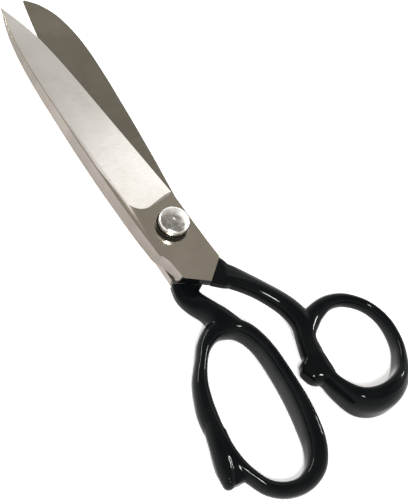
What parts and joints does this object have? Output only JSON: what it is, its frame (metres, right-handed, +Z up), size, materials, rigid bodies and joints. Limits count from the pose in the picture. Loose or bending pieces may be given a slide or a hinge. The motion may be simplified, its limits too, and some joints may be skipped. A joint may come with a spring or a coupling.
{
  "type": "fabric shears",
  "caption": "Forged fabric shears with one small and one large black handle loop, pointed blades, and a shouldered pivot screw on which the halves turn.",
  "frame": {"origin": "centre of the bounding box on the surface that the shears lie on", "axes": "+Y to the blade tips, +Z up out of the side that carries the screw head, +X across, with the thumb loop at +X"},
  "size_m": [0.102, 0.2524, 0.0191],
  "materials": {
    "ground_steel": "ground satin",
    "polished_steel": "polished bevel, satin flats",
    "cast_iron": "as cast, hidden",
    "black_enamel": "deep gloss",
    "bright_chrome": "bright",
    "dark_spring_steel": "oiled black",
    "washer_steel": "turned"
  },
  "bodies": {
    "finger_half": {"finger_blade": "ground_steel", "finger_handle_core": "cast_iron", "finger_handle_enamel": "black_enamel", "pivot_screw": "bright_chrome", "spring_washer": "dark_spring_steel", "back_washer": "washer_steel", "pivot_nut": "washer_steel"},
    "thumb_half": {"thumb_blade": "polished_steel", "thumb_handle_core": "cast_iron", "thumb_handle_enamel": "black_enamel"}
  },
  "joints": [
    {"name": "blade_pivot", "type": "hinge", "parent": "finger_half", "child": "thumb_half", "pos_m": [-0.01118, -0.00753, 0.0081], "axis": [0, 0, 1], "range_deg": [-4.5, 50]}
  ]
}
